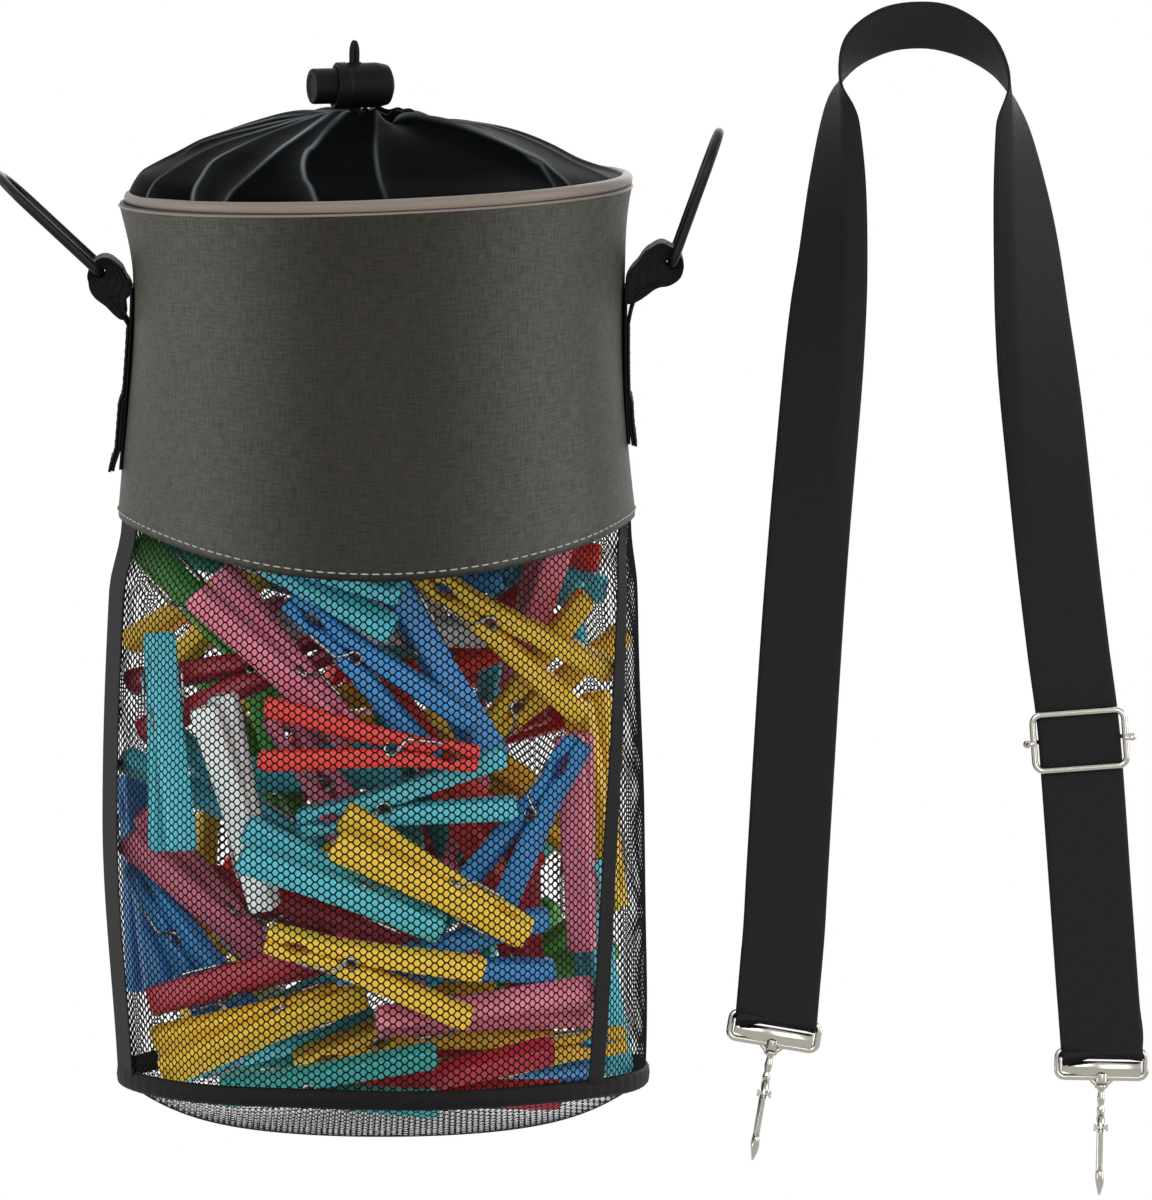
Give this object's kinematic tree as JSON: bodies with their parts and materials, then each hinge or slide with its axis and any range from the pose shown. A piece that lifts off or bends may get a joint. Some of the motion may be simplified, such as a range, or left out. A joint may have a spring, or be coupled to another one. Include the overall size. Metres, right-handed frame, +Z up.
{
  "type": "peg_bag",
  "caption": "Round clothes-peg bag: grained grey band over black net, gathered black hood with a spring cord lock, side rings, and a webbing shoulder strap with snap hooks",
  "frame": {"origin": "on the bag's axis, level with the webbing loops that hold the two side rings, which is where the bag hangs", "axes": "+Z up along the bag, -Y out of its front, +X towards the side where the strap hangs"},
  "size_m": [0.4072, 0.1918, 0.4236],
  "materials": {
    "band_leather": "grained grey coated leather",
    "piping_leather": "smooth taupe piping",
    "hood_nylon": "black satin nylon",
    "net": "black open hexagonal net",
    "webbing": "black woven webbing",
    "lock_plastic": "matte black moulding",
    "ring_metal": "black coated wire",
    "bright_chrome": "polished plating",
    "spring_steel": "bright spring wire"
  },
  "bodies": {
    "bag": {"upper_band": "band_leather", "rim_piping": "piping_leather", "drawstring_hood": "hood_nylon", "drawcord": "hood_nylon", "mesh_front": "net", "mesh_back": "net", "mesh_base": "net", "base_binding": "webbing", "seam_tape_left": "webbing", "seam_tape_right": "webbing", "strap_tab_left": "webbing", "strap_tab_right": "webbing", "shoulder_webbing": "webbing", "webbing_return": "webbing"},
    "cord_lock": {"cord_lock_body": "lock_plastic", "cord_lock_spring": "spring_steel"},
    "cord_lock_button": {"cord_lock_plunger": "lock_plastic"},
    "ring_left": {"ring_left": "ring_metal"},
    "ring_right": {"ring_right": "ring_metal"},
    "slider": {"slider_frame": "bright_chrome", "slider_bar": "bright_chrome"},
    "hook_left_swivel_loop": {"hook_left_loop": "bright_chrome"},
    "hook_left_bow": {"hook_left_body": "bright_chrome", "hook_left_gate_pin": "spring_steel", "hook_left_gate_spring": "spring_steel"},
    "hook_left_lever": {"hook_left_gate": "bright_chrome"},
    "hook_right_swivel_loop": {"hook_right_loop": "bright_chrome"},
    "hook_right_bow": {"hook_right_body": "bright_chrome", "hook_right_gate_pin": "spring_steel", "hook_right_gate_spring": "spring_steel"},
    "hook_right_lever": {"hook_right_gate": "bright_chrome"}
  },
  "joints": [
    {"name": "cord_lock_slide", "type": "slide", "parent": "bag", "child": "cord_lock", "axis": [0, 0, 1], "range_m": [0, 0.006]},
    {"name": "cord_lock_press", "type": "slide", "parent": "cord_lock", "child": "cord_lock_button", "axis": [0.9397, 0.342, 0], "range_m": [0, 0.0035], "stiffness_N_per_m": 300, "springref_m": -0.0006, "deforming": ["cord_lock_spring"]},
    {"name": "ring_left_swing", "type": "hinge", "parent": "bag", "child": "ring_left", "pos_m": [-0.098, 0, 0.0028], "axis": [0, 1, 0], "range_deg": [-123, 47]},
    {"name": "ring_right_swing", "type": "hinge", "parent": "bag", "child": "ring_right", "pos_m": [0.1038, 0, 0.0057], "axis": [0, -1, 0], "range_deg": [-150, 20]},
    {"name": "slider_slide", "type": "slide", "parent": "bag", "child": "slider", "axis": [-0.0732, 0, 0.9973], "range_m": [-0.06, 0.02], "deforming": ["webbing_return"]},
    {"name": "hook_left_fold", "type": "hinge", "parent": "bag", "child": "hook_left_swivel_loop", "pos_m": [0.1405, -0.02955, -0.2594], "axis": [0.9863, 0, -0.165], "range_deg": [-80, 80]},
    {"name": "hook_left_swivel", "type": "hinge", "parent": "hook_left_swivel_loop", "child": "hook_left_bow", "pos_m": [0.1405, -0.02955, -0.2594], "axis": [0.165, 0, 0.9863], "continuous": true},
    {"name": "hook_left_gate_swing", "type": "hinge", "parent": "hook_left_bow", "child": "hook_left_lever", "pos_m": [0.13613, -0.03635, -0.28554], "axis": [0.9863, 0, -0.165], "range_deg": [0, 18], "stiffness_Nm_per_rad": 0.02, "springref_deg": -11.46, "deforming": ["hook_left_gate_spring"]},
    {"name": "hook_right_fold", "type": "hinge", "parent": "bag", "child": "hook_right_swivel_loop", "pos_m": [0.2552, -0.02955, -0.2711], "axis": [0.9998, 0, -0.0175], "range_deg": [-80, 80]},
    {"name": "hook_right_swivel", "type": "hinge", "parent": "hook_right_swivel_loop", "child": "hook_right_bow", "pos_m": [0.2552, -0.02955, -0.2711], "axis": [0.0175, 0, 0.9998], "continuous": true},
    {"name": "hook_right_gate_swing", "type": "hinge", "parent": "hook_right_bow", "child": "hook_right_lever", "pos_m": [0.25474, -0.03635, -0.2976], "axis": [0.9998, 0, -0.0175], "range_deg": [0, 18], "stiffness_Nm_per_rad": 0.02, "springref_deg": -11.46, "deforming": ["hook_right_gate_spring"]}
  ]
}
